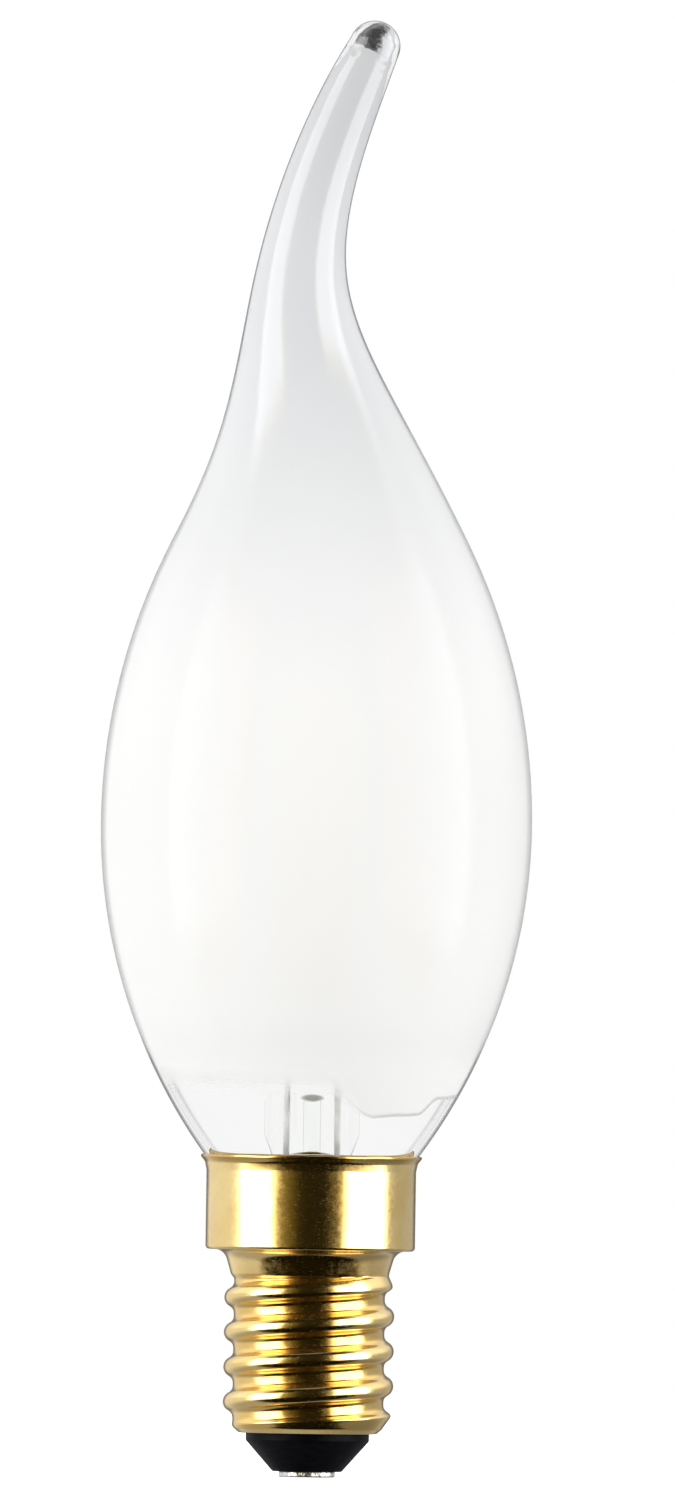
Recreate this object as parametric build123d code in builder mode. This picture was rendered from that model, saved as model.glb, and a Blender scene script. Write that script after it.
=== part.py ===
from build123d import *
import math
import os

# Candle bulb with a bent flame tip on a small Edison screw cap.
# Millimetres, +Z up along the cap's axis, origin on the flat of the centre contact.
# The tip bends towards +X.

# Glass envelope: belly and shoulder are measured up from the lip of the cap
bulb_length = 118.2
envelope_d = 35.0
belly_rise = 26.9
shoulder_rise = 23.1
upper_curve_r = 51.0
neck_blend_r = 4.0
glass_wall = 0.7

# Drawn and bent tip: it swings to -X up to its waist, then leans over to +X
waist_drop = 19.7
waist_d = 7.16
tip_swing = 1.83
tip_lean = 3.8
tip_angle = 25.7
tip_draft = 0.116
bead_d = 4.16
bead_depth = 2.5
tip_sections = 8

# Brass screw cap: heights stack up from the flat of the centre contact
cap_sheet = 0.25
foot_height = 3.55
foot_edge = 0.5
foot_return = 0.55
thread_length = 13.05
thread_major_d = 13.8
thread_depth = 0.8
thread_pitch = 2.822
thread_sink = 0.03
thread_run_out = 1.2
first_crest_rise = 1.07
throat_height = 1.8
throat_step = 0.4
throat_r = 0.8
shoulder_width = 2.0
skirt_height = 7.6
skirt_corner_r = 0.6
lip_height = 0.9
lip_flare = 0.5

# Black glass insulator and the pin pressed into it
insulator_tip_d = 5.6
insulator_band = 0.6
insulator_flange = 1.1
contact_d = 4.6
contact_head = 0.45
contact_edge = 0.15
contact_shank_d = 1.8
contact_stub = 0.3

# Glass stem
stem_rise = 5.2
stem_tube_d = 6.6
stem_wall = 0.7
neck_seal_height = 0.8
flare_height = 3.6
press_width = 7.7
press_thickness = 3.4
press_height = 5.0
press_blend = 1.6
press_edge_r = 1.2
press_round_r = 0.8
exhaust_d = 3.0
exhaust_bore_d = 1.4
exhaust_gap = 0.7
exhaust_seal = 1.2
port_width = 1.6
port_height = 0.5
port_depth = 0.2

# Filaments and the wires that carry them
filament_rise = 8.3
filament_span = 31.5
filament_foot_radius = 6.6
filament_head_radius = 5.0
filament_azimuth = 38.0
filament_width = 1.5
filament_thickness = 1.0
filament_bevel = 0.3
tab_width = 0.9
tab_thickness = 0.3
tab_length = 1.8
bar_width = 1.2
bar_thickness = 0.4
bar_overhang = 0.6
lead_d = 0.5
lead_rise = 2.0
solder_length = 2.0

# Driver in the cap
board_thickness = 1.0
board_margin = 0.4
board_offset = 1.9
chip_width = 4.9
chip_height = 3.9
chip_depth = 1.4
chip_level = 3.2
chip_pins = 3
rectifier_width = 4.8
rectifier_height = 3.8
rectifier_depth = 1.4
rectifier_pins = 2
package_gap = 0.7
pin_width = 0.4
pin_reach = 0.9
pin_thickness = 0.2
pin_pitch = 1.27
capacitor_d = 5.0
capacitor_height = 6.0
capacitor_level = 2.2
resistor_d = 1.8
resistor_height = 4.0
resistor_level = 2.2
resistor_gap = 0.3
hook_up_d = 0.4
shell_lead_offset = 3.6

# Clearances
fit_gap = 0.05
seal_gap = 0.02
solder_gap = 0.02
cap_seat = 0.8
cement_thickness = 0.75
cement_height = 3.2

os.makedirs("parts", exist_ok=True)


def finish(piece, label):
    """Name a finished piece and write it to its own file."""
    piece.part.label = label
    export_step(piece.part, f"parts/{label}.step")


# Radii of the cap and of the glass that sits in it, from the thread outwards
crest_r = thread_major_d / 2
root_r = crest_r - thread_depth
bore_r = root_r - cap_sheet
rim_r = root_r - foot_edge - foot_return
insulator_r = rim_r - fit_gap
throat_radius = root_r + throat_step
skirt_r = throat_radius + shoulder_width
neck_r = skirt_r - cap_sheet - cement_thickness
neck_bore_r = neck_r - glass_wall
belly_r = envelope_d / 2
bead_r = bead_d / 2

# Levels, from the foot of the cap to the tip
insulator_floor = foot_height + cap_sheet + insulator_flange
thread_top = foot_height + thread_length
skirt_foot = thread_top + throat_height
neck_foot = skirt_foot + cap_sheet + cap_seat
cap_height = skirt_foot + skirt_height
stem_height = cap_height + stem_rise
press_foot = stem_height - press_height
filament_foot_height = stem_height + filament_rise
filament_head_height = filament_foot_height + filament_span
belly_height = cap_height + belly_rise
shoulder_height = belly_height + shoulder_rise
waist_height = bulb_length - waist_drop
bead_height = bulb_length - bead_r

# Lower curve of the belly: upright at the widest section, it comes down inside the lip
lip_angle = math.atan2(lip_flare, lip_height)
lip_seat_r = skirt_r + lip_flare - cap_sheet * math.cos(lip_angle) - seal_gap
lip_seat_height = cap_height + cap_sheet * math.sin(lip_angle)
seat_inset = belly_r - lip_seat_r
lower_curve_r = (seat_inset**2 + (belly_height - lip_seat_height) ** 2) / (2 * seat_inset)


def belly_radius(height, curve_r, inset):
    """Radius of the blown belly at a height, moved in from the outside by inset."""
    rise = height - belly_height
    return belly_r - curve_r + math.sqrt((curve_r - inset) ** 2 - rise**2)


def neck_joint_height(inset):
    """Height where the lower curve of the belly runs down to the neck's cylinder."""
    reach = neck_r - inset - belly_r + lower_curve_r
    return belly_height - math.sqrt((lower_curve_r - inset) ** 2 - reach**2)


def belly_profile(inset, foot):
    """Half section of the belly and neck up to the shoulder: two arcs and a cylinder."""
    shoulder = (belly_radius(shoulder_height, upper_curve_r, inset), shoulder_height)
    widest = (belly_r - inset, belly_height)
    joint = (neck_r - inset, neck_joint_height(inset))
    with BuildSketch(Plane.XZ) as profile:
        with BuildLine():
            RadiusArc(shoulder, widest, upper_curve_r - inset)
            RadiusArc(widest, joint, lower_curve_r - inset)
            Polyline(joint, (joint[0], foot), (0, foot), (0, shoulder_height), shoulder)
        make_face()
        fillet(profile.vertices().sort_by_distance(joint)[0], neck_blend_r + inset)
    return profile.sketch


# The tip as one curve in offset, radius and height: shoulder, waist and bead
shoulder_r = belly_radius(shoulder_height, upper_curve_r, 0)
shoulder_slope = (shoulder_height - belly_height) / (shoulder_r - belly_r + upper_curve_r)
lean_x = math.sin(math.radians(tip_angle))
lean_z = math.cos(math.radians(tip_angle))
tip_curve = Edge.make_spline(
    [
        Vector(0, shoulder_r, shoulder_height),
        Vector(-tip_swing, waist_d / 2, waist_height),
        Vector(tip_lean, bead_r, bead_height),
    ],
    tangents=[Vector(0, -shoulder_slope, 1), Vector(lean_x, -tip_draft, lean_z)],
)


def tip_plane(share):
    """Plane of a section of the tip: it turns square to the bend as the tip gets slim."""
    point = tip_curve.position_at(share)
    along = tip_curve.tangent_at(share)
    lean = math.atan2(along.X, along.Z) * (1 - point.Y / shoulder_r)
    return Plane(
        origin=(point.X, 0, point.Z),
        x_dir=(math.cos(lean), 0, -math.sin(lean)),
        z_dir=(math.sin(lean), 0, math.cos(lean)),
    )


def tip_radius(share, wall):
    """Radius of a section of the tip, less a wall measured square to the glass."""
    along = tip_curve.tangent_at(share)
    return tip_curve.position_at(share).Y - wall * math.hypot(1, along.Y / along.Z)


# Blown envelope: belly and neck turned from one profile, tip lofted along its bend
cavity_share = 1 - (bead_depth - bead_r) / tip_curve.length
with BuildPart() as glass_envelope:
    add(belly_profile(0, neck_foot))
    revolve(axis=Axis.Z)
    for step in range(tip_sections + 1):
        share = step / tip_sections
        with BuildSketch(tip_plane(share)):
            Circle(tip_radius(share, 0))
    loft()
    with Locations(tip_plane(1)):
        Sphere(bead_r, arc_size1=0, align=(Align.CENTER, Align.CENTER, Align.MIN))
    add(belly_profile(glass_wall, neck_foot))
    revolve(axis=Axis.Z, mode=Mode.SUBTRACT)
    with BuildSketch(Plane.XY.offset(shoulder_height)):
        Circle(belly_radius(shoulder_height, upper_curve_r, glass_wall))
    for step in range(1, tip_sections + 1):
        share = cavity_share * step / tip_sections
        with BuildSketch(tip_plane(share)):
            Circle(tip_radius(share, glass_wall))
    loft(mode=Mode.SUBTRACT)
finish(glass_envelope, "glass_envelope")

# Stem: flare sealed into the neck, tube, flattened press and exhaust tube with its port
flare_r = neck_bore_r - seal_gap
tube_r = stem_tube_d / 2
flare_top = neck_foot + flare_height
exhaust_foot = insulator_floor + capacitor_level + capacitor_height + exhaust_gap
bore_top = stem_height - port_depth
lead_offset = (exhaust_d / 2 + tube_r - stem_wall) / 2
blend_top = press_foot + press_blend
with BuildPart() as stem_press:
    with BuildSketch(Plane.XY.offset(blend_top)):
        RectangleRounded(press_width, press_thickness, press_edge_r)
    extrude(amount=stem_height - blend_top)
    with BuildSketch(Plane.XZ) as press_front:
        with Locations((0, (blend_top + stem_height) / 2)):
            Rectangle(press_width, stem_height - blend_top)
        fillet(press_front.vertices().group_by(Axis.Y)[-1], press_round_r)
    extrude(amount=press_thickness, both=True, mode=Mode.INTERSECT)

with BuildPart() as glass_stem:
    with BuildSketch(Plane.XZ):
        with BuildLine():
            Polyline(
                (flare_r, neck_foot),
                (flare_r, neck_foot + neck_seal_height),
                (tube_r, flare_top),
                (tube_r, press_foot),
                (tube_r - stem_wall, press_foot),
                (tube_r - stem_wall, flare_top - stem_wall),
                (flare_r - stem_wall, neck_foot),
                close=True,
            )
        make_face()
    revolve(axis=Axis.Z)
    with BuildSketch(Plane.XY.offset(press_foot)):
        press_root = stem_tube_d - 2 * seal_gap
        RectangleRounded(press_root, press_root, press_root / 2 - seal_gap)
    with BuildSketch(Plane.XY.offset(blend_top)):
        RectangleRounded(press_width, press_thickness, press_edge_r)
    loft()
    add(stem_press.part)
    with BuildSketch(Plane.XY.offset(exhaust_foot)):
        Circle(exhaust_d / 2)
    extrude(amount=press_foot - exhaust_foot)
    with BuildSketch(Plane.XY.offset(exhaust_foot + exhaust_seal)):
        Circle(exhaust_bore_d / 2)
    extrude(amount=bore_top - exhaust_foot - exhaust_seal, mode=Mode.SUBTRACT)
    with BuildSketch(Plane.XZ):
        with Locations((0, bore_top - port_height / 2)):
            SlotOverall(port_width, port_height)
    extrude(amount=press_thickness, mode=Mode.SUBTRACT)
    with BuildSketch(Plane.XY.offset(neck_foot)):
        with GridLocations(2 * lead_offset, 0, 2, 1):
            Circle(lead_d / 2 + seal_gap)
    extrude(until=Until.LAST, mode=Mode.SUBTRACT)
finish(glass_stem, "glass_stem")

# Lead wires: soldered to the board, sealed through the press, spread out to the crossbars
rectifier_level = chip_level + chip_height + package_gap
board_height = rectifier_level + rectifier_height + board_margin
board_top = insulator_floor + board_height
pad_y = board_offset - lead_d / 2 - solder_gap
azimuth_x = math.cos(math.radians(filament_azimuth))
azimuth_y = math.sin(math.radians(filament_azimuth))
crossbar_top = filament_foot_height - solder_gap
lead_end = crossbar_top - bar_thickness - lead_d / 2
for side, name in ((-1, "left"), (1, "right")):
    lead_x = side * lead_offset
    crossbar_x = side * filament_foot_radius * azimuth_x
    with BuildPart() as lead_wire:
        with BuildLine() as route:
            Polyline(
                (lead_x, pad_y, board_top - solder_length),
                (lead_x, 0, flare_top),
                (lead_x, 0, stem_height + lead_rise),
                (crossbar_x, 0, lead_end),
            )
        with BuildSketch(Plane(route.line @ 0, z_dir=route.line % 0)):
            Circle(lead_d / 2)
        sweep(path=route.line, transition=Transition.RIGHT)
    finish(lead_wire, f"lead_wire_{name}")

    with BuildPart() as crossbar:
        with BuildSketch(Plane.XY.offset(crossbar_top)):
            with Locations((crossbar_x, 0)):
                Rectangle(bar_width, 2 * (filament_foot_radius * azimuth_y + bar_overhang))
        extrude(amount=-bar_thickness)
    finish(crossbar, f"crossbar_{name}")

# Links that join the filaments' upper ends in pairs
for side, name in ((-1, "front"), (1, "back")):
    with BuildPart() as top_link:
        with BuildSketch(Plane.XY.offset(filament_head_height + solder_gap)):
            with Locations((0, side * filament_head_radius * azimuth_y)):
                Rectangle(2 * (filament_head_radius * azimuth_x + bar_overhang), bar_width)
        extrude(amount=bar_thickness)
    finish(top_link, f"top_link_{name}")


def filament_plane(azimuth):
    """Plane square to a filament at its foot, with its width along the circle."""
    turn = math.radians(azimuth)
    outward = Vector(math.cos(turn), math.sin(turn), 0)
    foot = outward * filament_foot_radius + Vector(0, 0, filament_foot_height)
    head = outward * filament_head_radius + Vector(0, 0, filament_head_height)
    return Plane(foot, x_dir=(-outward.Y, outward.X, 0), z_dir=head - foot)


# Four filaments: a coated strip with a metal tab at each end
azimuths = (filament_azimuth, 180 - filament_azimuth, 180 + filament_azimuth, -filament_azimuth)
filament_length = math.hypot(filament_span, filament_foot_radius - filament_head_radius)
tab_inset = 2 * solder_gap
coated_length = filament_length - 2 * tab_length
with BuildPart() as filament_tabs:
    for azimuth in azimuths:
        for start in (tab_inset, tab_length + coated_length):
            with BuildSketch(filament_plane(azimuth).offset(start)):
                Rectangle(tab_width, tab_thickness)
            extrude(amount=tab_length - tab_inset)
finish(filament_tabs, "filament_tabs")

for number, azimuth in enumerate(azimuths, start=1):
    with BuildPart() as led_filament:
        with BuildSketch(filament_plane(azimuth).offset(tab_length)):
            coat = Rectangle(filament_width, filament_thickness)
            chamfer(coat.vertices(), filament_bevel)
        extrude(amount=coated_length)
    finish(led_filament, f"led_filament_{number}")

# Rolled thread: a wave of equal crest and root arcs, sunk a little into the shell's cylinder
wave_root_r = root_r - thread_sink
wave_depth = crest_r - wave_root_r
wave_r = (thread_pitch**2 / 4 + wave_depth**2) / (4 * wave_depth)
flank_r = (crest_r + wave_root_r) / 2
flank_half = thread_pitch / 4
ridge_foot_r = root_r - thread_sink / 2
ridge_half = thread_pitch / 2 - math.sqrt(wave_r**2 - (wave_r + wave_root_r - ridge_foot_r) ** 2)
ridge_start = foot_height + first_crest_rise - thread_pitch
ridge_rise = thread_top - ridge_start + thread_pitch
run_out_foot = foot_height + foot_edge
crest_clear = crest_r + fit_gap
with BuildPart() as thread_ridge:
    with BuildLine() as helix:
        Helix(thread_pitch, ridge_rise, root_r, center=(0, 0, ridge_start))
    with BuildSketch(Plane((0, 0, ridge_start), x_dir=(1, 0, 0), z_dir=(0, -1, 0))):
        with BuildLine():
            RadiusArc((ridge_foot_r, -ridge_half), (flank_r, -flank_half), wave_r)
            RadiusArc((flank_r, -flank_half), (flank_r, flank_half), -wave_r)
            RadiusArc((flank_r, flank_half), (ridge_foot_r, ridge_half), wave_r)
            Polyline(
                (ridge_foot_r, ridge_half),
                (wave_root_r - thread_sink, ridge_half),
                (wave_root_r - thread_sink, -ridge_half),
                (ridge_foot_r, -ridge_half),
            )
        make_face()
    sweep(path=helix.line, is_frenet=True)
    with BuildSketch(Plane.XZ):
        Polygon(
            (0, run_out_foot),
            (root_r, run_out_foot),
            (crest_clear, run_out_foot + thread_run_out),
            (crest_clear, thread_top - thread_run_out),
            (throat_radius, thread_top),
            (0, thread_top),
            align=None,
        )
    revolve(axis=Axis.Z, mode=Mode.INTERSECT)

# Cap shell: drawn sheet with a flared lip, skirt, shoulder, throat, thread and turned-in foot
with BuildPart() as cap_shell:
    with BuildSketch(Plane.XZ):
        with BuildLine():
            Polyline(
                (skirt_r + lip_flare, cap_height),
                (skirt_r, cap_height - lip_height),
                (skirt_r, skirt_foot),
                (throat_radius, skirt_foot),
                (throat_radius, thread_top),
                (root_r, thread_top - throat_step),
                (root_r, foot_height + foot_edge),
                (root_r - foot_edge, foot_height),
                (rim_r, foot_height),
            )
            offset(amount=cap_sheet, side=Side.RIGHT, kind=Kind.INTERSECTION)
        make_face()
    revolve(axis=Axis.Z)
    fillet(cap_shell.edges().sort_by_distance((skirt_r, 0, skirt_foot))[0], skirt_corner_r)
    fillet(cap_shell.edges().sort_by_distance((throat_radius, 0, skirt_foot))[0], throat_r)
    add(thread_ridge.part)
finish(cap_shell, "cap_shell")

# Insulator: cone and band below the shell's foot, flange above it, hole for the pin
with BuildPart() as cap_insulator:
    with BuildSketch(Plane.XZ):
        Polygon(
            (contact_shank_d / 2 + fit_gap, contact_head),
            (insulator_tip_d / 2, contact_head),
            (insulator_r, foot_height - insulator_band),
            (insulator_r, foot_height + cap_sheet + fit_gap),
            (bore_r - fit_gap - foot_edge, foot_height + cap_sheet + fit_gap),
            (bore_r - fit_gap, foot_height + cap_sheet + fit_gap + foot_edge),
            (bore_r - fit_gap, insulator_floor),
            (contact_shank_d / 2 + fit_gap, insulator_floor),
            align=None,
        )
    revolve(axis=Axis.Z)
finish(cap_insulator, "cap_insulator")

# Centre contact: pin with a flat head, pressed into the insulator
with BuildPart() as centre_contact:
    with BuildSketch():
        Circle(contact_d / 2)
    extrude(amount=contact_head)
    chamfer(centre_contact.edges().group_by(Axis.Z)[0], contact_edge)
    with BuildSketch(Plane.XY.offset(contact_head)):
        Circle(contact_shank_d / 2)
    extrude(amount=insulator_floor + contact_stub - contact_head)
finish(centre_contact, "centre_contact")

# Cement between the glass neck and the skirt
with BuildPart() as base_cement:
    with BuildSketch(Plane.XY.offset(neck_foot)):
        Circle(skirt_r - cap_sheet - seal_gap)
        Circle(neck_r + seal_gap, mode=Mode.SUBTRACT)
    extrude(amount=cement_height)
finish(base_cement, "base_cement")

# Driver board: stands on the insulator behind the exhaust tube, as wide as the bore allows
board_back = board_offset + board_thickness
board_half = math.sqrt((bore_r - fit_gap) ** 2 - board_back**2) - fit_gap
board_middle = board_offset + board_thickness / 2
with BuildPart() as driver_board:
    with BuildSketch(Plane.XY.offset(insulator_floor)):
        with Locations((0, board_middle)):
            Rectangle(2 * board_half, board_thickness)
    extrude(amount=board_height)
finish(driver_board, "driver_board")


def flat_package(width, height, depth, level, pins_a_side):
    """Moulded part with bent pins on both sides, on the back of the board."""
    middle = insulator_floor + level + height / 2
    with BuildPart() as package:
        with BuildSketch(Plane.XZ.offset(-board_back - depth)):
            with Locations((0, middle)):
                Rectangle(width, height)
        extrude(amount=depth - pin_thickness)
        with BuildSketch(Plane.XZ.offset(-board_back - pin_thickness - solder_gap)):
            with Locations((0, middle)):
                with GridLocations(0, pin_pitch, 1, pins_a_side):
                    Rectangle(width + 2 * pin_reach, pin_width)
        extrude(amount=pin_thickness)
    return package


chip = flat_package(chip_width, chip_height, chip_depth, chip_level, chip_pins)
finish(chip, "driver_chip")
rectifier = flat_package(
    rectifier_width, rectifier_height, rectifier_depth, rectifier_level, rectifier_pins
)
finish(rectifier, "bridge_rectifier")

# Smoothing capacitor: a can that leans on the front of the board
with BuildPart() as smoothing_capacitor:
    with BuildSketch(Plane.XY.offset(insulator_floor + capacitor_level)):
        with Locations((0, board_offset - capacitor_d / 2 - solder_gap)):
            Circle(capacitor_d / 2)
    extrude(amount=capacitor_height)
finish(smoothing_capacitor, "smoothing_capacitor")

# Fusible resistor on the front of the board, in the line from the centre contact
resistor_x = (capacitor_d + resistor_d) / 2 + resistor_gap
resistor_y = board_offset - resistor_d / 2 - solder_gap
resistor_foot = insulator_floor + resistor_level
with BuildPart() as fusible_resistor:
    with BuildSketch(Plane.XY.offset(resistor_foot)):
        with Locations((resistor_x, resistor_y)):
            Circle(resistor_d / 2)
    extrude(amount=resistor_height)
finish(fusible_resistor, "fusible_resistor")

# Hook-up wires: pin to resistor, and board to shell
pin_end = insulator_floor + contact_stub + solder_gap
bend_height = (pin_end + resistor_foot) / 2
with BuildPart() as contact_lead:
    with BuildLine() as route:
        Polyline(
            (0, 0, pin_end),
            (0, 0, pin_end + hook_up_d),
            (resistor_x, resistor_y, bend_height),
            (resistor_x, resistor_y, resistor_foot - solder_gap),
        )
    with BuildSketch(Plane(route.line @ 0, z_dir=route.line % 0)):
        Circle(hook_up_d / 2)
    sweep(path=route.line, transition=Transition.RIGHT)
finish(contact_lead, "contact_lead")

shell_lead_y = board_offset - hook_up_d / 2 - solder_gap
weld_height = thread_top + throat_height / 2
weld_r = throat_radius - cap_sheet - solder_gap
weld_x = math.sqrt(weld_r**2 - (shell_lead_y + hook_up_d / 2) ** 2)
with BuildPart() as shell_lead:
    with BuildLine() as route:
        Polyline(
            (-shell_lead_offset, shell_lead_y, board_top - solder_length),
            (-shell_lead_offset, shell_lead_y, weld_height),
            (-weld_x, shell_lead_y, weld_height),
        )
    with BuildSketch(Plane(route.line @ 0, z_dir=route.line % 0)):
        Circle(hook_up_d / 2)
    sweep(path=route.line, transition=Transition.RIGHT)
finish(shell_lead, "shell_lead")
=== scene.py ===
import math

import bmesh
import bpy
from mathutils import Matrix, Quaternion, Vector, noise


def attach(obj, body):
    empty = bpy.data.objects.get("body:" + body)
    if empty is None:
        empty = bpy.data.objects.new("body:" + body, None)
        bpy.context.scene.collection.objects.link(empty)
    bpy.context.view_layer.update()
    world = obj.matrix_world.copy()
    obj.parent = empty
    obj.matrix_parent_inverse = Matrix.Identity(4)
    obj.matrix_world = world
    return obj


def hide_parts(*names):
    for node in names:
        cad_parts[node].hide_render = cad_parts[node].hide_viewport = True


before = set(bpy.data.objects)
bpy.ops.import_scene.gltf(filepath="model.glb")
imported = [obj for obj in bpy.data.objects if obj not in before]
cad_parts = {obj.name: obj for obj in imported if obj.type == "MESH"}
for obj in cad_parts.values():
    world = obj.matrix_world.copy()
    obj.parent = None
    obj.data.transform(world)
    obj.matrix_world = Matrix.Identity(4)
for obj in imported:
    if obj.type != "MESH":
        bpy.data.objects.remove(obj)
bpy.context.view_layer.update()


# Stem: a glass tube flared out to the neck, its top pressed flat round the lead wires and the
# exhaust tube. Clear drawn glass; the drawing leaves faint upright lines in it.
MM = 0.001


class Shade:
    """A socket of a finish's nodes; sums and products of it add Math nodes."""

    def __init__(self, tree, socket=None):
        self.tree = tree
        self.socket = socket

    def node(self, kind, sockets, settings=None, out=0):
        """Add one node: its settings first, then the value or the link of each socket."""
        made = self.tree.nodes.new(kind)
        for name, value in (settings or {}).items():
            setattr(made, name, value)
        for key, value in sockets.items():
            if isinstance(value, Shade):
                self.tree.links.new(value.socket, made.inputs[key])
            else:
                made.inputs[key].default_value = value
        return Shade(self.tree, made.outputs[out] if made.outputs else None)

    def maths(self, operation, first, second=0.0):
        return self.node("ShaderNodeMath", {0: first, 1: second}, {"operation": operation})

    def __add__(self, other):
        return self.maths("ADD", self, other)

    def __sub__(self, other):
        return self.maths("SUBTRACT", self, other)

    def __rsub__(self, other):
        return self.maths("SUBTRACT", other, self)

    def __mul__(self, other):
        return self.maths("MULTIPLY", self, other)

    __radd__ = __add__
    __rmul__ = __mul__

    def rise(self, low, high, start=0.0, end=1.0):
        """A soft step from start to end as this value goes from low to high."""
        sockets = {"Value": self, "From Min": low, "From Max": high, "To Min": start, "To Max": end}
        return self.node("ShaderNodeMapRange", sockets, {"interpolation_type": "SMOOTHSTEP"})

    def stretched(self, x, y, z):
        """A place with its three directions scaled apart."""
        return self.node("ShaderNodeVectorMath", {0: self, 1: (x, y, z)}, {"operation": "MULTIPLY"})

    def along(self, axis):
        """One direction of a place: X, Y or Z."""
        return self.node("ShaderNodeSeparateXYZ", {0: self}, out=axis)

    def ray(self, kind):
        """1 for a ray of one kind, such as Shadow, and 0 for the rest."""
        return self.node("ShaderNodeLightPath", {}, out=f"Is {kind} Ray")

    def cloud(self, scale, detail):
        """Soft noise at a place, between 0 and 1."""
        return self.node("ShaderNodeTexNoise", {"Vector": self, "Scale": scale, "Detail": detail})

    def blend(self, first, second):
        """From the first colour to the second by this share."""
        sockets = {0: self, 6: first, 7: second}
        return self.node("ShaderNodeMix", sockets, {"data_type": "RGBA"}, out=2)

    def relief(self, depth, strength):
        """This value as the height of a surface relief, its depth in millimetres."""
        sockets = {"Height": self, "Strength": strength, "Distance": depth * MM}
        return self.node("ShaderNodeBump", sockets)

    def mix(self, first, second):
        """From the first shader to the second by this share."""
        return self.node("ShaderNodeMixShader", {0: self, 1: first, 2: second})


def new_finish(name):
    """An empty finish and its place in millimetres."""
    finish = bpy.data.materials.new(name)
    finish.use_nodes = True
    finish.node_tree.nodes.clear()
    place = Shade(finish.node_tree).node("ShaderNodeTexCoord", {}, out="Object")
    return finish, place.stretched(1 / MM, 1 / MM, 1 / MM)


def close_finish(finish, shader):
    """Puts the shader on the finish's surface."""
    shader.node("ShaderNodeOutputMaterial", {"Surface": shader})
    return finish


def paint(shade, **sockets):
    """A plain surface shader with the given sockets."""
    named = {key.replace("_", " "): value for key, value in sockets.items()}
    return shade.node("ShaderNodeBsdfPrincipled", named)


def clear_glass(place, tint, ripple, **sockets):
    """A shader of clear glass, uneven by the ripple."""
    return paint(place, Base_Color=tint, Transmission_Weight=1.0, Normal=ripple, **sockets)


def open_way(place, tint):
    """A shader that lets everything straight through, tinted."""
    return place.node("ShaderNodeBsdfTransparent", {"Color": tint})


def lit_through(place, glass, tint):
    """Glass that lets the light of lamps straight through to what is behind it."""
    window = open_way(place, tint)
    return place.ray("Shadow").mix(place.ray("Diffuse").mix(glass, window), window)


def slanted(place):
    """How far the surface turns away from the eye, from 0 to 1, for the edges of glass."""
    return place.node("ShaderNodeLayerWeight", {"Blend": 0.5}, out="Facing")


def dress(finish, *names):
    """Gives a finish to pieces of the frame."""
    for name in names:
        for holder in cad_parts[name].material_slots:
            holder.material = finish


stem_tint, streak_tint = (0.992, 0.995, 0.992, 1.0), (0.95, 0.95, 0.94, 1.0)
port_shade_tint, rim_shade_tint = (0.34, 0.35, 0.30, 1.0), (0.8, 0.8, 0.79, 1.0)
port_height, port_wide, port_tall = 30.75, 0.95, 0.3
stem_index = 1.015
stem_glass, place = new_finish("stem_glass")
draw_lines = place.stretched(2.2, 2.2, 0.06).cloud(1.0, 3.0)
port_x = place.along("X") * (1 / port_wide)
port_z = (place.along("Z") - port_height) * (1 / port_tall)
# Painted shade: a dark oval in the stem's colour where the port opens.
port_shade = (port_x * port_x + port_z * port_z).rise(0.3, 1.3, 1.0, 0.0)
streaks = draw_lines.rise(0.45, 0.75).blend(stem_tint, streak_tint)
ripple = draw_lines.relief(0.1, 0.4)
stem_tone_and_port_shade = port_shade.blend(streaks, port_shade_tint)
pressed = clear_glass(place, stem_tone_and_port_shade, ripple, Roughness=0.0, IOR=stem_index)
# Painted shade: the stem turns grey where it is seen edge-on.
pressed = slanted(place).rise(0.8, 0.93).mix(pressed, open_way(place, rim_shade_tint))
close_finish(stem_glass, lit_through(place, pressed, stem_tint))
dress(stem_glass, "glass_stem")

# Mount: two lead wires, crossbars and links of nickel-plated iron, spot-welded to the tabs of
# the filaments. The drawn and rolled metal is fairly bright, with fine lines and dull patches.
nickel_wire, place = new_finish("nickel_wire")
draw_marks = place.stretched(9.0, 9.0, 0.5).cloud(1.0, 2.0)
dull = place.cloud(0.8, 3.0)
close_finish(
    nickel_wire,
    paint(
        place,
        Base_Color=dull.rise(0.35, 0.7).blend((0.98, 0.975, 0.96, 1.0), (0.93, 0.92, 0.90, 1.0)),
        Metallic=1.0,
        Roughness=dull.rise(0.3, 0.7, 0.3, 0.45),
        Normal=draw_marks.relief(0.02, 0.5),
    ),
)
dress(
    nickel_wire,
    "lead_wire_left",
    "lead_wire_right",
    "crossbar_left",
    "crossbar_right",
    "top_link_front",
    "top_link_back",
    "filament_tabs",
)

# Filaments: four strips of light-emitting chips under a coat of silicone filled with yellow
# phosphor, poured on and cured, so the coat is a little uneven in tone and lumpy to the touch.
phosphor, place = new_finish("phosphor")
tone = place.cloud(1.1, 3.0)
lumps = place.cloud(3.2, 2.0)
close_finish(
    phosphor,
    paint(
        place,
        Base_Color=tone.rise(0.3, 0.7).blend((0.83, 0.50, 0.10, 1.0), (0.90, 0.62, 0.20, 1.0)),
        Roughness=lumps.rise(0.2, 0.8, 0.42, 0.62),
        Normal=lumps.relief(0.12, 0.6),
    ),
)
dress(phosphor, "led_filament_1", "led_filament_2", "led_filament_3", "led_filament_4")

# Envelope: glass blown in a mould, then drawn out and bent at the top and melted off in a solid
# bead. The inside is coated white, except in the bead and in the neck, which stay clear.
belly_r, belly_height = 17.488, 52.9
lower_curve_r, upper_curve_r = 45.403, 51.0
neck_r, neck_foot, glass_wall = 7.5, 19.45, 0.7
neck_bend_r, neck_bend_height, neck_top = 4.0, 23.1, 32.0
shoulder_height = 76.0
bead_offset, bead_height, bead_lean = 3.8, 116.12, math.radians(25.7)
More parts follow.
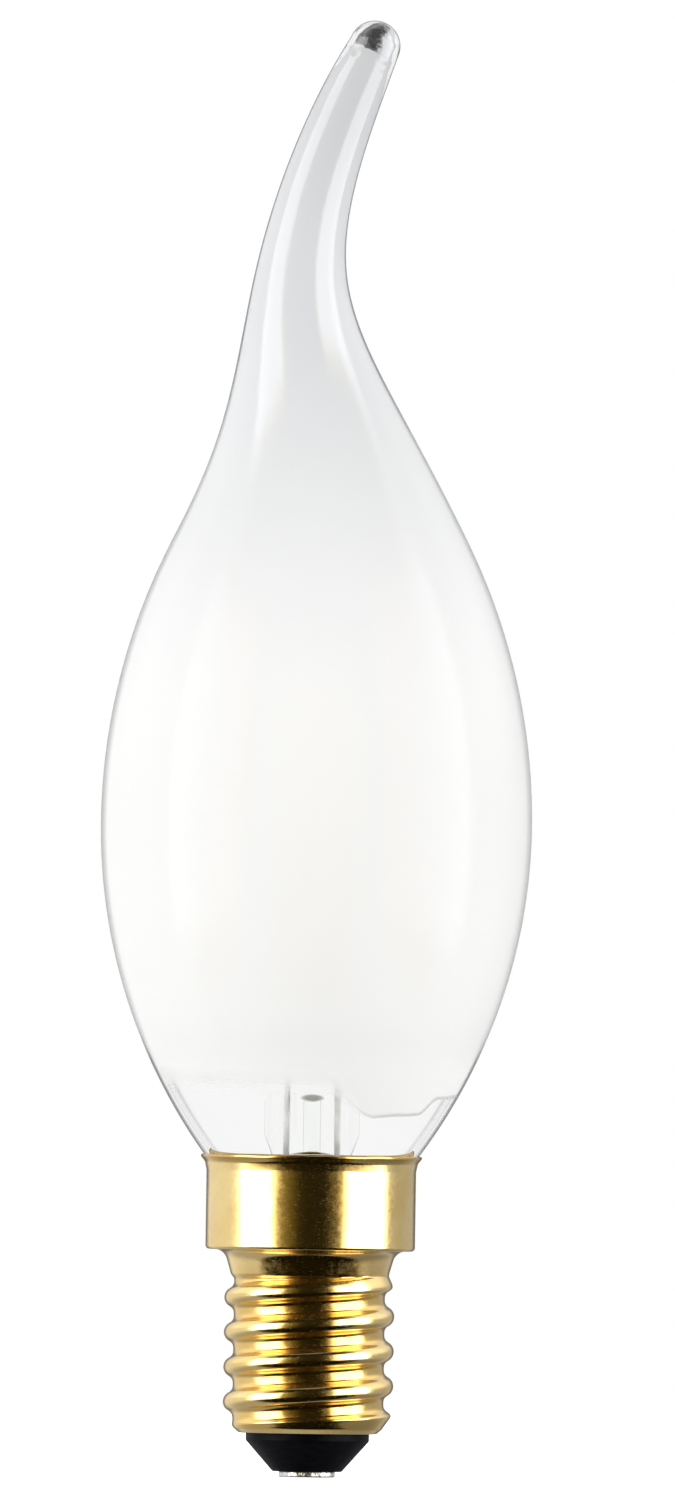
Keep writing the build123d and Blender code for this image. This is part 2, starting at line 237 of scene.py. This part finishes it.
# Offset, radius and height of the shoulder, the waist and the bead, and how they change there
tip_stations = (
    (Vector((0.0, 11.9686, shoulder_height)), Vector((0.0, -0.5779, 1.1375))),
    (Vector((-1.83, 3.58, 98.5)), Vector((0.0841, -0.1371, 0.9106))),
    (Vector((bead_offset, 2.08, bead_height)), Vector((0.4365, -0.1167, 0.9069))),
)
bead_r, bead_wall = 2.078, 1.05
thick_from, dome_reach = 0.8, 1.4
glass_columns = 128
neck_rows, belly_rows, tip_rows, bead_rows, dome_rows = 60, 72, 64, 16, 12


def belly_radius(height, inset):
    """Radius of the blown part, moved in from the outside by inset."""
    share = (lower_curve_r - inset) / (lower_curve_r + neck_bend_r)
    if height < belly_height + (neck_bend_height - belly_height) * share:
        above = max(height - neck_bend_height, 0.0)
        return neck_r + neck_bend_r - math.sqrt((neck_bend_r + inset) ** 2 - above**2)
    curve_r = upper_curve_r if height > belly_height else lower_curve_r
    return belly_r - curve_r + math.sqrt((curve_r - inset) ** 2 - (height - belly_height) ** 2)


def tip_point(share):
    """Place and direction on the tip's curve, from the shoulder at 0 to the bead at 1."""
    half = 0 if share < 0.5 else 1
    t = share * 2 - half
    (a, slope_a), (b, slope_b) = tip_stations[half], tip_stations[half + 1]
    span = (b - a).length
    point = a * (2 * t**3 - 3 * t**2 + 1) + b * (3 * t**2 - 2 * t**3)
    point += slope_a * span * (t**3 - 2 * t**2 + t) + slope_b * span * (t**3 - t**2)
    along = (b - a) * (6 * t - 6 * t**2)
    along += slope_a * span * (3 * t**2 - 4 * t + 1) + slope_b * span * (3 * t**2 - 2 * t)
    return point, along.normalized()


def ring(radius, height, columns, offset=0.0, lean=0.0):
    """Points of one round section, leaning about the line from front to back."""
    points = []
    for column in range(columns):
        turn = 2 * math.pi * column / columns
        across = radius * math.cos(turn)
        x, z = offset + across * math.cos(lean), height - across * math.sin(lean)
        points.append(Vector((x, radius * math.sin(turn), z)))
    return points


def tip_ring(share, wall, shrink=1.0, ahead=0.0):
    """A section of the tip, which turns square to the bend as the tip gets slim."""
    point, along = tip_point(share)
    lean = math.atan2(along.x, along.z) * (1 - point.y / tip_stations[0][0].y)
    radius = point.y - wall * math.hypot(1, along.y / along.z)
    offset = point.x + ahead * math.sin(lean)
    height = point.z + ahead * math.cos(lean)
    if shrink == 0.0:
        return [Vector((offset, 0.0, height))]
    return ring(radius * shrink, height, glass_columns, offset, lean)


def blown_rings(inset):
    """Sections of the neck and belly, from the foot of the neck up to the shoulder."""
    neck_tall, belly_tall = neck_top - neck_foot, shoulder_height - neck_top
    heights = [neck_foot + neck_tall * row / neck_rows for row in range(neck_rows)]
    heights += [neck_top + belly_tall * row / belly_rows for row in range(belly_rows)]
    return [ring(belly_radius(z, inset), z, glass_columns) for z in heights]


def skin(name, rings, finishes, inside=0, loop=False):
    """A piece from successive rings of points; the rings up to inside take the last finish."""
    mesh = bpy.data.meshes.new(name)
    form = bmesh.new()
    rows = [[form.verts.new(point * MM) for point in points] for points in rings]
    pairs = list(zip(rows, rows[1:] + rows[:1])) if loop else list(zip(rows, rows[1:]))
    for number, (low, high) in enumerate(pairs):
        count = max(len(low), len(high))
        for column in range(count):
            following = (column + 1) % count
            corners = [low[column % len(low)], low[following % len(low)]]
            corners += [high[following % len(high)], high[column % len(high)]]
            face = form.faces.new(list(dict.fromkeys(corners)))
            face.smooth = True
            if number < inside:
                face.material_index = len(finishes) - 1
    bmesh.ops.recalc_face_normals(form, faces=form.faces)
    form.to_mesh(mesh)
    form.free()
    for finish in finishes:
        mesh.materials.append(finish)
    mesh.set_sharp_from_angle(angle=math.radians(45))
    piece = bpy.data.objects.new(name, mesh)
    bpy.context.scene.collection.objects.link(piece)
    return piece


inner = blown_rings(glass_wall)
for step in range(tip_rows + 1):
    share = step / tip_rows
    thicker = max(share - thick_from, 0.0) / (1 - thick_from)
    inner.append(tip_ring(share, glass_wall + (bead_wall - glass_wall) * thicker))
for step in range(1, dome_rows + 1):
    bend = math.pi / 2 * step / dome_rows
    shrink = math.cos(bend) if step < dome_rows else 0.0
    inner.append(tip_ring(1.0, bead_wall, shrink, dome_reach * math.sin(bend)))
outer = blown_rings(0.0)
outer += [tip_ring(step / tip_rows, 0.0) for step in range(tip_rows + 1)]
for step in range(1, bead_rows + 1):
    bend = math.pi / 2 * step / bead_rows
    shrink = math.cos(bend) if step < bead_rows else 0.0
    outer.append(tip_ring(1.0, 0.0, shrink, bead_r * math.sin(bend)))

glass_tint, edge_shade_tint = (0.99, 0.995, 0.99, 1.0), (0.55, 0.55, 0.57, 1.0)
belly_gloss = (0.12, 0.12, 0.12, 1.0)
haze, glass_index, neck_index = 0.14, 1.5, 1.04
envelope_glass, place = new_finish("envelope_glass")
draw_lines = place.stretched(0.7, 0.7, 0.03).cloud(1.0, 2.0)
up = place.along("Z")
past_shoulder = up.rise(74.0, 94.0)
on_tip = past_shoulder * (1 - up.rise(112.5, 115.0))
on_belly = up.rise(32.5, 38.0) * (1 - past_shoulder)
melt = place.cloud(0.9, 1.0) * up.rise(112.0, 116.0, 0.0, 8.0)
ripple = (draw_lines + melt).relief(0.05, 0.3)
drawn = clear_glass(place, glass_tint, ripple, Roughness=haze * on_tip, IOR=glass_index)
blown = clear_glass(
    place, glass_tint, ripple, Roughness=haze, IOR=glass_index, Specular_Tint=belly_gloss
)
slant = slanted(place)
# Painted shade: the glass walls turn grey where they are seen edge-on, on the neck and up the tip.
edge = open_way(place, edge_shade_tint)
neck_wall = clear_glass(place, glass_tint, ripple, Roughness=0.0, IOR=neck_index)
neck_wall = slant.rise(0.79, 0.89).mix(neck_wall, edge)
drawn = (slant.rise(0.7, 0.84) * up.rise(80.0, 95.0)).mix(drawn, edge)
drawn = up.rise(33.0, 36.0).mix(neck_wall, drawn)
close_finish(envelope_glass, lit_through(place, on_belly.mix(drawn, blown), glass_tint))

coat_foot, coat_dip, coat_lift = 32.3, 2.7, 1.4
glow_share, gap_share, bead_shade_share = 0.2, 0.05, 0.85
white_coat, place = new_finish("white_coat")
side, depth, height = [place.along(axis) for axis in "XYZ"]
wander = place.stretched(0.16, 0.16, 0.0).cloud(1.0, 2.0)
coat_edge = coat_foot - side.rise(0.8, 5.0, 0.0, coat_dip) + side.rise(8.4, 10.2, 0.0, coat_lift)
above_edge = height - (coat_edge + 0.04 * depth + 0.6 * (wander - 0.5))
fade = side.rise(2.0, 4.5, 1.3, 0.12)
lean_x, lean_z = math.sin(bead_lean), math.cos(bead_lean)
bead_x, bead_z = side - bead_offset, height - bead_height
past_bead = bead_x * lean_x + bead_z * lean_z
across_bead = bead_x * lean_z - bead_z * lean_x
ragged = place.cloud(1.6, 3.0)
bare_end = (past_bead + 0.9 * (ragged - 0.5)).rise(-0.5, -0.4)
coated = above_edge.rise(0.0 - fade, fade) * (1 - bare_end)
coat_edge_shade_line = above_edge.rise(-0.05, 0.08) * (1 - above_edge.rise(0.1, 0.4))
grain = place.cloud(7.0, 2.0)
# Painted light and shade: the coat is lighter low on the belly, as if lit from below, and greyer up
# the tip and at the bead, as shade.
coat_tone_and_shading = height.rise(36.0, 58.0).blend((0.97, 0.972, 0.976, 1.0), (0.93, 0.932, 0.938, 1.0))
coat_tone_and_shading = height.rise(60.0, 98.0).blend(coat_tone_and_shading, (0.71, 0.715, 0.73, 1.0))
coat_tone_and_shading = height.rise(98.0, 113.0).blend(coat_tone_and_shading, (0.62, 0.625, 0.645, 1.0))
# Painted light: a warmer, lighter patch in the middle of the belly, front and back, for the
# filaments behind the coat.
painted_middle_glow = (1 - place.maths("ABSOLUTE", side).rise(1.5, 6.0)) * height.rise(34.0, 41.0)
painted_middle_glow = painted_middle_glow * (1 - height.rise(60.0, 70.0))
coat_tone_and_shading = painted_middle_glow.blend(coat_tone_and_shading, (0.953, 0.945, 0.931, 1.0))
# Painted shade: a dark line along the coat's lower edge, on the right side.
coat_tone_and_shading = (coat_edge_shade_line * side.rise(2.0, 6.0, 0.0, 0.7)).blend(coat_tone_and_shading, (0.45, 0.45, 0.44, 1.0))
coat_tone_and_shading = grain.rise(0.3, 0.7, 0.0, 0.05).blend(coat_tone_and_shading, (0.80, 0.80, 0.79, 1.0))
coat = paint(place, Base_Color=coat_tone_and_shading, Roughness=1.0, Specular_IOR_Level=0.0)
glow = place.node("ShaderNodeBsdfTranslucent", {"Color": (0.9, 0.9, 0.91, 1.0)})
gaps = open_way(place, (1.0, 1.0, 1.0, 1.0))
coat = place.node("ShaderNodeMixShader", {0: glow_share, 1: coat, 2: glow})
coat = place.node("ShaderNodeMixShader", {0: gap_share, 1: coat, 2: gaps})
# Painted shade in the bare glass of the bead: a dark patch, with a lighter right half as painted
# light.
bead_shade_tone = ragged.rise(0.4, 0.65).blend((0.03, 0.03, 0.03, 1.0), (0.12, 0.12, 0.12, 1.0))
bead_light_half = (across_bead + 1.2 * (grain - 0.5)).rise(0.1, 0.5)
bead_shade_tone = bead_light_half.blend(bead_shade_tone, (0.55, 0.55, 0.59, 1.0))
bead_shade = paint(place, Base_Color=bead_shade_tone, Roughness=0.6, Specular_IOR_Level=0.2)
ripple = wander.relief(0.01, 0.1)
end_glass = clear_glass(place, glass_tint, ripple, Roughness=0.0, IOR=glass_index)
neck_glass = clear_glass(place, glass_tint, ripple, Roughness=0.0, IOR=neck_index)
inner_glass = height.rise(60.0, 61.0).mix(neck_glass, end_glass)
bare = (bead_shade_share * bare_end).mix(lit_through(place, inner_glass, glass_tint), bead_shade)
close_finish(white_coat, coated.mix(bare, coat))

envelope = skin(
    "blown_envelope", inner[::-1] + outer, (envelope_glass, white_coat), inside=len(inner) - 1
)
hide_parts("glass_envelope")
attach(envelope, "root")

# Driver: a glass-fibre board that stands in the cap, with a moulded rectifier and chip on its
# back and a capacitor and a resistor on its front, all soldered. The lacquer shows the weave.
board_lacquer, place = new_finish("board_lacquer")
weave = place.node("ShaderNodeTexChecker", {"Vector": place, "Scale": 3.0}, out=1)
pooling = place.cloud(0.9, 2.0)
close_finish(
    board_lacquer,
    paint(
        place,
        Base_Color=pooling.rise(0.3, 0.7).blend((0.70, 0.71, 0.66, 1.0), (0.60, 0.62, 0.56, 1.0)),
        Roughness=pooling.rise(0.3, 0.7, 0.35, 0.5),
        Normal=weave.relief(0.02, 0.4),
    ),
)
dress(board_lacquer, "driver_board")

black_moulding, place = new_finish("black_moulding")
speck = place.cloud(12.0, 3.0)
close_finish(
    black_moulding,
    paint(
        place,
        Base_Color=speck.rise(0.4, 0.75).blend((0.018, 0.018, 0.019, 1.0), (0.05, 0.05, 0.05, 1.0)),
        Roughness=speck.rise(0.3, 0.7, 0.5, 0.7),
        Normal=speck.relief(0.02, 0.5),
    ),
)
dress(black_moulding, "driver_chip", "bridge_rectifier")

capacitor_sleeve, place = new_finish("capacitor_sleeve")
creases = place.stretched(0.5, 0.5, 3.0).cloud(1.0, 2.0)
close_finish(
    capacitor_sleeve,
    paint(
        place,
        Base_Color=creases.rise(0.3, 0.7).blend((0.02, 0.03, 0.06, 1.0), (0.03, 0.04, 0.08, 1.0)),
        Roughness=creases.rise(0.3, 0.7, 0.25, 0.4),
        Normal=creases.relief(0.05, 0.4),
    ),
)
dress(capacitor_sleeve, "smoothing_capacitor")

resistor_coat, place = new_finish("resistor_coat")
dip = place.cloud(1.8, 3.0)
close_finish(
    resistor_coat,
    paint(
        place,
        Base_Color=dip.rise(0.3, 0.7).blend((0.10, 0.28, 0.24, 1.0), (0.14, 0.36, 0.31, 1.0)),
        Roughness=dip.rise(0.3, 0.7, 0.4, 0.6),
        Normal=dip.relief(0.05, 0.4),
    ),
)
dress(resistor_coat, "fusible_resistor")

hook_up_wire, place = new_finish("hook_up_wire")
tinning = place.stretched(6.0, 6.0, 1.5).cloud(1.0, 2.0)
close_finish(
    hook_up_wire,
    paint(
        place,
        Base_Color=tinning.rise(0.3, 0.7).blend((0.72, 0.72, 0.70, 1.0), (0.55, 0.55, 0.53, 1.0)),
        Metallic=1.0,
        Roughness=tinning.rise(0.3, 0.7, 0.2, 0.4),
        Normal=tinning.relief(0.02, 0.5),
    ),
)
dress(hook_up_wire, "shell_lead", "contact_lead")

# Cement: a ring of baked filler that holds the glass neck in the skirt of the cap. It is
# pale, matt and full of fine pores.
cap_cement, place = new_finish("cap_cement")
pores = place.cloud(5.0, 4.0)
close_finish(
    cap_cement,
    paint(
        place,
        Base_Color=pores.rise(0.3, 0.7).blend((0.62, 0.58, 0.50, 1.0), (0.78, 0.75, 0.68, 1.0)),
        Roughness=pores.rise(0.3, 0.7, 0.95, 0.8),
        Normal=pores.relief(0.2, 0.8),
    ),
)
dress(cap_cement, "base_cement")

# Cap shell: brass sheet drawn to a cup, its lip flared round the glass, its thread rolled in as
# a round wave and its foot turned in under the insulator. Polished, with handling marks.
thread_pitch, first_crest = 2.822, 4.62
crest_r, wave_root_r, root_r = 6.9, 6.07, 6.1
wave_depth = crest_r - wave_root_r
wave_r = (thread_pitch**2 / 4 + wave_depth**2) / (4 * wave_depth)
thread_foot, thread_top, thread_join, throat_r = 4.05, 16.4, 17.2, 6.4
run_out, crest_clear, throat_step, throat_slope = 1.2, 6.95, 0.4, 0.29
lip_foot, lip_tall, lip_sway, sway_scale = 25.2, 0.9, 0.05, 0.35
cap_columns, thread_rows, arc_steps = 180, 176, 8


def softer(first, second, reach):
    """The smaller of two lengths, with the corner between them rounded."""
    share = max(reach - abs(first - second), 0.0) / reach
    return min(first, second) - share * share * reach / 4


def thread_radius(height, turn):
    """Radius of the threaded part at a height and a share of a turn."""
    phase = (height - first_crest) / thread_pitch - turn
    apart = abs(phase - round(phase)) * thread_pitch
    if apart <= thread_pitch / 4:
        wave = crest_r - wave_r + math.sqrt(wave_r**2 - apart**2)
    else:
        wave = wave_root_r + wave_r - math.sqrt(wave_r**2 - (thread_pitch / 2 - apart) ** 2)
    foot_limit = root_r + (crest_clear - root_r) * (height - thread_foot) / run_out
    top_limit = throat_r + (crest_clear - throat_r) * (thread_top - height) / run_out
    ridge = softer(wave, softer(foot_limit, max(top_limit, throat_r), 0.1), 0.25)
    throat = throat_r + throat_slope * max(height - thread_top, 0.0)
    share = min(max((height - thread_top + throat_step) / throat_step, 0.0), 1.0)
    plain = root_r + (throat - root_r) * share
    return -softer(-ridge, -plain, 0.12)


def rounded(corners, step):
    """A half section through corners (radius, height, rounding), cut into short steps."""
    path = [Vector(corners[0][:2])]
    for before, (r, z, rounding), after in zip(corners, corners[1:], corners[2:]):
        corner = Vector((r, z))
        back = (Vector(before[:2]) - corner).normalized()
        ahead = (Vector(after[:2]) - corner).normalized()
        if rounding == 0.0:
            path.append(corner)
            continue
        half = back.angle(ahead) / 2
        reach = rounding / math.tan(half)
        middle = corner + (back + ahead).normalized() * rounding / math.sin(half)
        start = corner + back * reach - middle
        turns_left = start.cross(corner + ahead * reach - middle) > 0
        sweep = (math.pi - 2 * half) * (1 if turns_left else -1)
        for part in range(arc_steps + 1):
            turn = sweep * part / arc_steps
            swung_r = start.x * math.cos(turn) - start.y * math.sin(turn)
            swung_z = start.x * math.sin(turn) + start.y * math.cos(turn)
            path.append(middle + Vector((swung_r, swung_z)))
    path.append(Vector(corners[-1][:2]))
    fine = []
    for first, second in zip(path, path[1:]):
        parts = max(1, math.ceil((second - first).length / step))
        fine += [first.lerp(second, part / parts) for part in range(parts)]
    return fine + [path[-1]]


upper = rounded(
    [
        (8.66, 26.0, 0.0),
        (8.8, 26.12, 0.06),
        (8.96, 26.1, 0.07),
        (8.96, 25.92, 0.07),
        (8.64, 25.5, 0.5),
        (8.5, 24.8, 1.0),
        (8.5, 18.4, 0.3),
        (6.98, 18.4, 1.1),
        (6.632, thread_join, 0.0),
    ],
    0.25,
)
foot = rounded(
    [(root_r, thread_foot, 0.0), (6.08, 3.98, 0.0), (5.6, 3.55, 0.3), (5.05, 3.55, 0.0)], 0.12
)
inside = rounded(
    [
        (5.05, 3.8, 0.0),
        (5.5, 3.8, 0.2),
        (5.85, 4.15, 0.2),
        (5.85, 16.3, 0.2),
        (6.25, 16.7, 0.2),
        (6.25, 18.65, 0.2),
        (8.25, 18.65, 0.3),
        (8.25, 25.15, 0.3),
        (8.66, 26.0, 0.0),
    ],
    0.5,
)


def swayed(point):
    """A ring of the shell; the lip's edge is a little uneven, as crimped by hand tools."""
    points = ring(point.x, point.y, cap_columns)
    share = min(max((point.y - lip_foot) / lip_tall, 0.0), 1.0)
    for spot in points:
        sway = noise.noise(Vector((spot.x * sway_scale, spot.y * sway_scale, 4.0)))
        spot.z += lip_sway * share * (sway - 0.6)
    return points


threaded = []
for row in range(1, thread_rows):
    height = thread_join + (thread_foot - thread_join) * row / thread_rows
    points = ring(1.0, height, cap_columns)
    for column, spot in enumerate(points):
        radius = thread_radius(height, column / cap_columns)
        spot.x *= radius
        spot.y *= radius
    threaded.append(points)
shell_rings = [swayed(point) for point in upper] + threaded
shell_rings += [ring(point.x, point.y, cap_columns) for point in foot + inside[:-1]]

cap_brass, place = new_finish("cap_brass")
stain = place.cloud(0.28, 3.0)
mottle = place.cloud(2.6, 4.0)
scratch = place.stretched(1.0, 1.0, 9.0).cloud(2.4, 4.0)
dents = place.cloud(0.45, 1.0)
brass_tone_and_shade = stain.rise(0.35, 0.7).blend((0.82, 0.63, 0.29, 1.0), (0.77, 0.56, 0.23, 1.0))
brass_tone_and_shade = mottle.rise(0.52, 0.75, 0.0, 0.3).blend(brass_tone_and_shade, (0.62, 0.43, 0.15, 1.0))
level_place = place.stretched(1.0, 1.0, 0.0)
length = {"operation": "LENGTH"}
from_axis = place.node("ShaderNodeVectorMath", {0: level_place}, length, out="Value")
groove = from_axis.rise(6.15, 6.75, 0.6, 0.0) * from_axis.rise(5.9, 6.0)
brass_tone_and_shade = groove.blend(brass_tone_and_shade, (0.70, 0.45, 0.12, 1.0))
# Painted shade: the flared lip is coloured a darker, deeper gold.
painted_lip_shade = place.along("Z").rise(25.3, 25.8, 0.0, 0.7)
brass_tone_and_shade = painted_lip_shade.blend(brass_tone_and_shade, (0.60, 0.36, 0.08, 1.0))
brass_polish = mottle.rise(0.3, 0.7, 0.15, 0.22) + scratch.rise(0.6, 0.75, 0.0, 0.12)
close_finish(
    cap_brass,
    paint(
        place,
        Base_Color=brass_tone_and_shade,
        Metallic=1.0,
        Roughness=brass_polish,
        Normal=dents.relief(0.05, 0.5),
    ),
)
shell = skin("rolled_cap_shell", shell_rings, (cap_brass,), loop=True)
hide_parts("cap_shell")
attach(shell, "root")

# Insulator: black glass pressed into the foot of the shell while soft, a cone with a short
# upright band. Its skin is satin, with fine flow marks.
cone = rounded(
    [
        (0.95, 0.45, 0.0),
        (2.8, 0.45, 0.2),
        (5.0, 2.95, 0.25),
        (5.0, 3.85, 0.0),
        (5.3, 3.85, 0.1),
        (5.8, 4.35, 0.1),
        (5.8, 4.9, 0.2),
        (0.95, 4.9, 0.0),
    ],
    0.2,
)
foot_columns = 128
black_glass, place = new_finish("black_glass")
flow = place.stretched(0.9, 0.9, 2.5).cloud(1.0, 3.0)
pitting = place.cloud(7.0, 3.0)
black_tone = flow.rise(0.3, 0.7).blend((0.0016, 0.0017, 0.003, 1.0), (0.003, 0.0032, 0.005, 1.0))
close_finish(
    black_glass,
    paint(
        place,
        Base_Color=black_tone,
        Roughness=pitting.rise(0.3, 0.7, 0.38, 0.55),
        Specular_IOR_Level=0.05,
        Normal=(flow + 0.3 * pitting).relief(0.06, 0.5),
    ),
)
cone_rings = [ring(point.x, point.y, foot_columns) for point in cone]
insulator = skin("pressed_insulator", cone_rings, (black_glass,), loop=True)
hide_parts("cap_insulator")
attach(insulator, "root")

# Centre contact: a pin with a flat head, pressed into the insulator and tinned with solder,
# which leaves its rim uneven and its face speckled.
pin_top, rim_from, rim_pull, rim_scale = 5.2, 2.0, 0.05, 1.7
head = rounded(
    [
        (1.9, 0.0, 0.0),
        (2.3, 0.0, 0.15),
        (2.3, 0.44, 0.06),
        (0.9, 0.44, 0.0),
        (0.9, pin_top, 0.1),
        (0.4, pin_top, 0.0),
    ],
    0.1,
)
contact_rings = [[Vector((0.0, 0.0, 0.0))]]
for point in head:
    points = ring(point.x, point.y, foot_columns)
    for spot in points:
        if point.x > rim_from:
            unevenness = noise.noise(Vector((spot.x * rim_scale, spot.y * rim_scale, 2.0)))
            pull = 1.0 - rim_pull * (0.5 + unevenness)
            spot.x *= pull
            spot.y *= pull
    contact_rings.append(points)
contact_rings.append([Vector((0.0, 0.0, pin_top))])
contact_solder, place = new_finish("contact_solder")
blotch = place.cloud(3.4, 4.0)
close_finish(
    contact_solder,
    paint(
        place,
        Base_Color=blotch.rise(0.35, 0.65).blend((0.80, 0.79, 0.77, 1.0), (0.46, 0.45, 0.43, 1.0)),
        Metallic=1.0,
        Roughness=blotch.rise(0.3, 0.7, 0.25, 0.5),
        Normal=blotch.relief(0.12, 0.7),
    ),
)
contact = skin("tinned_contact", contact_rings, (contact_solder,))
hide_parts("centre_contact")
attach(contact, "root")

# Floor: a round sheet of white paper under the bulb. It is lifted to the white of the background,
# so that little more than the shadow of the cap shows on it.
floor_r, floor_columns = 0.42, 96
lift_seen, lift_through = 0.6, 0.06
floor_white = bpy.data.materials.new("floor_white")
floor_white.use_nodes = True
floor_white.node_tree.nodes.clear()
paper = Shade(floor_white.node_tree)
sheet = paint(paper, Base_Color=(0.9, 0.9, 0.9, 1.0), Roughness=0.9, Specular_IOR_Level=0.0)


def whiter(strength):
    """The sheet, lifted towards the white of the background."""
    lift = paper.node("ShaderNodeEmission", {"Strength": strength})
    return paper.node("ShaderNodeAddShader", {0: sheet, 1: lift})


through_glass = paper.ray("Transmission").mix(sheet, whiter(lift_through))
close_finish(floor_white, paper.ray("Camera").mix(through_glass, whiter(lift_seen)))
floor_mesh = bpy.data.meshes.new("floor")
rim = ring(floor_r, 0.0, floor_columns)
floor_mesh.from_pydata([tuple(point) for point in rim], [], [list(range(floor_columns))])
floor_mesh.materials.append(floor_white)
floor = bpy.data.objects.new("floor", floor_mesh)
bpy.context.scene.collection.objects.link(floor)
floor.visible_glossy = False

# Studio: two tall soft boxes in front, left and right, in a white room that is dark behind the
# camera. Dark flags round the backdrop line the edges of the glass. Angles are in degrees.
box_tall, box_middle = 1.24, 0.34
for name, angle, width, box_level in (("left", -62.0, 49.0, 2.6), ("right", 65.0, 59.0, 2.06)):
    lamp = bpy.data.lights.new(f"{name}_box", "AREA")
    lamp.shape = "RECTANGLE"
    lamp.size, lamp.size_y = 2 * math.tan(math.radians(width / 2)), box_tall
    lamp.energy = box_level * math.pi * lamp.size * lamp.size_y
    stand = bpy.data.objects.new(lamp.name, lamp)
    turn = math.radians(angle)
    stand.location = (math.sin(turn), -math.cos(turn), box_middle)
    stand.rotation_euler = (math.pi / 2, 0.0, turn)
    stand.visible_camera = stand.visible_glossy = stand.visible_transmission = False
    bpy.context.scene.collection.objects.link(stand)

box_glare, near_glare, side_glare = 4.2, 0.4, 0.4
plain_white, warm_dark = (1.0, 1.0, 1.0, 1.0), (1.0, 0.75, 0.16, 1.0)
room = bpy.data.worlds.new("white_room")
bpy.context.scene.world = room
room.use_nodes = True
room.node_tree.nodes.clear()
air = Shade(room.node_tree)
way = air.node("ShaderNodeTexCoord", {}, out="Generated")
way_x, way_y, way_z = [way.along(axis) for axis in "XYZ"]
bearing = air.maths("ARCTAN2", way_x, 0.0 - way_y) * math.degrees(1.0)
aside = air.maths("ABSOLUTE", bearing)
left_box = bearing.rise(-89.5, -79.5) * (1 - bearing.rise(-46.5, -35.5))
left_box = left_box * (1 - way_z.rise(0.5, 0.66))
right_box = bearing.rise(32.5, 42.5) * (1 - bearing.rise(86.0, 96.0))
right_box = right_box * (1 - way_z.rise(0.56, 0.72))
above_foot = way_z.rise(-0.38, -0.24)
box_shine = (left_box + right_box) * above_foot
side_shine = aside.rise(75.0, 105.0) * (1 - aside.rise(120.0, 150.0)) * way_z.rise(0.0, 0.25)
near_box = bearing.rise(-50.0, -8.0, 1.0, 0.0) + bearing.rise(14.0, 54.0)
near_box = near_box * (1 - aside.rise(84.0, 98.0)) * (1 - way_z.rise(0.5, 0.7))
half_light = near_box * above_foot
dark_front = 1 - aside.rise(70.0, 84.0)
overhead = way_z.rise(0.7, 0.92)
flags = way_y.rise(0.86, 0.95) * (1 - way_y.rise(0.993, 0.998))
straight, bent = air.ray("Camera"), air.ray("Transmission")
mirrored = air.ray("Glossy") * (1 - bent)
dark_share = 0.1 + mirrored * 0.88 + bent * 0.05
flag_share = 0.3 + mirrored * 0.5
room_level = (1 - dark_share * dark_front) * (1 - flag_share * flags)
low_right = way_x.rise(0.0, 0.6, 0.0, 0.45) * (1 - way_z.rise(0.1, 0.4))
underneath = 1 - way_z.rise(-0.6, -0.15)
out_of_light = 0.5 * underneath + 0.6 * overhead
room_level = room_level * (1 - mirrored * low_right) * (1 - mirrored * out_of_light)
room_level = room_level * (0.64 + 0.36 * mirrored + 0.3 * bent)
shine = box_glare * box_shine + near_glare * half_light + side_glare * side_shine
room_level = room_level + mirrored * shine
level = straight + (1 - straight) * room_level
cast = (mirrored * dark_front).blend(plain_white, warm_dark)
cast = box_shine.blend(cast, plain_white)
white = air.node("ShaderNodeBackground", {"Color": cast, "Strength": level})
air.node("ShaderNodeOutputWorld", {"Surface": white})

# Camera: far off in front, a little above the cap and aimed at the middle of the bulb, which leans
# a little in the frame.
camera_distance, camera_height, frame_height = 2.4, 0.036, 0.12165
frame_lean = math.radians(0.85)
frame_middle = Vector((0.001617, 0.0, 0.058985))
camera_data = bpy.data.cameras.new("camera")
camera_data.lens = camera_data.sensor_width * camera_distance / frame_height
camera = bpy.data.objects.new("camera", camera_data)
camera.location = (frame_middle.x, -camera_distance, camera_height)
aim = (frame_middle - camera.location).to_track_quat("-Z", "Y")
camera.rotation_euler = (aim @ Quaternion((0.0, 0.0, 1.0), frame_lean)).to_euler()
bpy.context.scene.collection.objects.link(camera)
bpy.context.scene.camera = camera
bpy.context.scene.view_settings.view_transform = "Standard"
